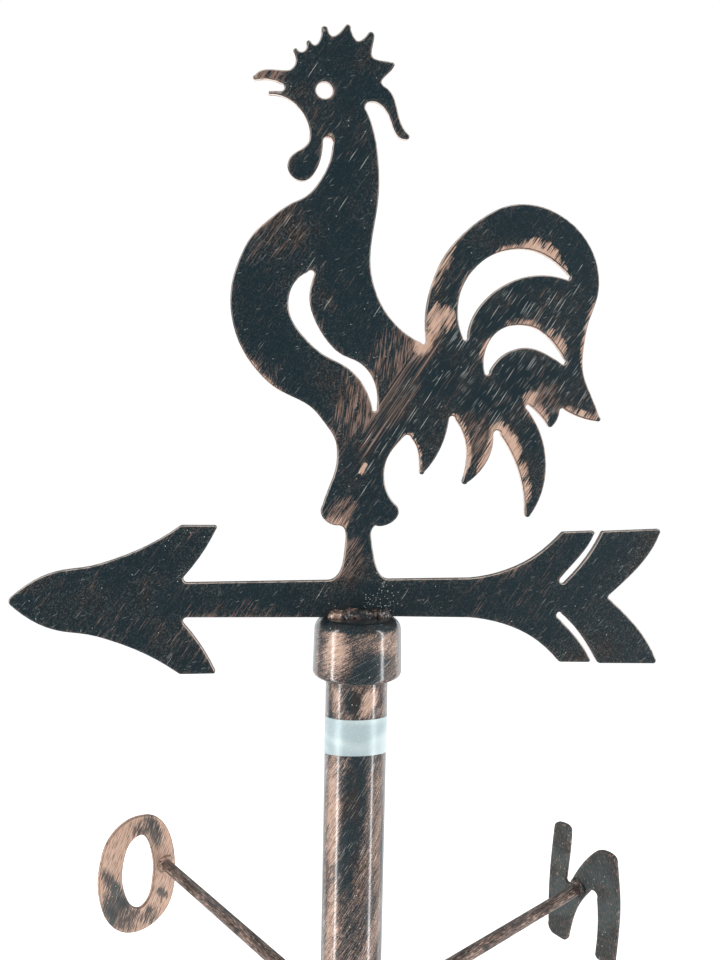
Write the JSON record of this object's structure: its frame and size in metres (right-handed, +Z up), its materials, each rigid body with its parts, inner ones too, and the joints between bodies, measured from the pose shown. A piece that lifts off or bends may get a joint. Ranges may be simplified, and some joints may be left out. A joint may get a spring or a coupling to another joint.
{
  "type": "weather vane",
  "caption": "Rooster weather vane: a cut-metal rooster on a feathered arrow that turns on a short pipe mast, with a compass of letters on rods below and a bolt-down base plate.",
  "frame": {"origin": "centre of the base plate's underside, on the mast's axis", "axes": "+Z up along the mast; the rooster sheet lies in the XZ plane with the arrow pointing along -X"},
  "size_m": [0.4057, 0.3925, 0.8318],
  "materials": {
    "sheet_paint": "semi-gloss blue-black paint, dry-brushed with copper",
    "pipe_paint": "gloss black paint, dry-brushed with copper",
    "rod_paint": "satin black paint, dry-brushed with copper",
    "letter_paint": "satin grey-black paint, brushed with copper",
    "label_foil": "pale silver-grey, blank",
    "bearing_steel": "ground",
    "cage_steel": "pressed sheet",
    "bare_steel": "turned",
    "zinc_steel": "bright zinc"
  },
  "bodies": {
    "mast": {"base_plate": "pipe_paint", "bearing_housing": "bare_steel", "lower_outer_ring": "bearing_steel", "mast_foot_weld": "pipe_paint", "mast_label": "label_foil", "mast_tube": "pipe_paint", "retaining_clip": "zinc_steel", "upper_outer_ring": "bearing_steel"},
    "vane": {"rooster_arrow_sheet": "sheet_paint", "sheet_weld_front": "rod_paint", "sheet_weld_back": "rod_paint", "rain_cap": "pipe_paint", "spindle": "bare_steel", "spindle_weld": "bare_steel", "upper_inner_ring": "bearing_steel", "lower_inner_ring": "bearing_steel", "inner_ring_spacer": "bare_steel", "spindle_washer": "zinc_steel", "spindle_nut": "zinc_steel"},
    "upper_cage": {"upper_ball_1": "bearing_steel", "upper_ball_2": "bearing_steel", "upper_ball_3": "bearing_steel", "upper_ball_4": "bearing_steel", "upper_ball_5": "bearing_steel", "upper_ball_6": "bearing_steel", "upper_ball_7": "bearing_steel", "upper_ball_cage": "cage_steel"},
    "lower_cage": {"lower_ball_1": "bearing_steel", "lower_ball_2": "bearing_steel", "lower_ball_3": "bearing_steel", "lower_ball_4": "bearing_steel", "lower_ball_5": "bearing_steel", "lower_ball_6": "bearing_steel", "lower_ball_7": "bearing_steel", "lower_ball_cage": "cage_steel"},
    "compass": {"compass_collar": "pipe_paint", "collar_weld_east": "rod_paint", "collar_weld_north": "rod_paint", "collar_weld_south": "rod_paint", "collar_weld_west": "rod_paint", "compass_rod_east": "rod_paint", "compass_rod_north": "rod_paint", "compass_rod_south": "rod_paint", "compass_rod_west": "rod_paint", "letter_e": "letter_paint", "letter_n": "letter_paint", "letter_o": "letter_paint", "letter_s": "letter_paint", "letter_weld_east": "rod_paint", "letter_weld_north": "rod_paint", "letter_weld_south": "rod_paint", "letter_weld_west": "rod_paint"},
    "screw_1": {"clamp_screw_1": "zinc_steel"},
    "screw_2": {"clamp_screw_2": "zinc_steel"}
  },
  "joints": [
    {"name": "vane_spin", "type": "hinge", "parent": "mast", "child": "vane", "pos_m": [0, 0, 0.52], "axis": [0, 0, 1], "continuous": true},
    {"name": "upper_cage_spin", "type": "hinge", "parent": "mast", "child": "upper_cage", "pos_m": [0, 0, 0.5045], "axis": [0, 0, 1], "continuous": true},
    {"name": "lower_cage_spin", "type": "hinge", "parent": "mast", "child": "lower_cage", "pos_m": [0, 0, 0.4735], "axis": [0, 0, 1], "continuous": true},
    {"name": "compass_turn", "type": "hinge", "parent": "mast", "child": "compass", "pos_m": [0, 0, 0.2892], "axis": [0, 0, 1], "continuous": true},
    {"name": "screw_1_slide", "type": "slide", "parent": "compass", "child": "screw_1", "axis": [0.9774, -0.2113, 0], "range_m": [0, 0.004]},
    {"name": "screw_2_slide", "type": "slide", "parent": "compass", "child": "screw_2", "axis": [-0.9774, 0.2113, 0], "range_m": [0, 0.004]}
  ],
  "couplings": [
    {"joint": "upper_cage_spin", "follows": "vane_spin", "ratio": 0.3728},
    {"joint": "lower_cage_spin", "follows": "vane_spin", "ratio": 0.3728}
  ]
}
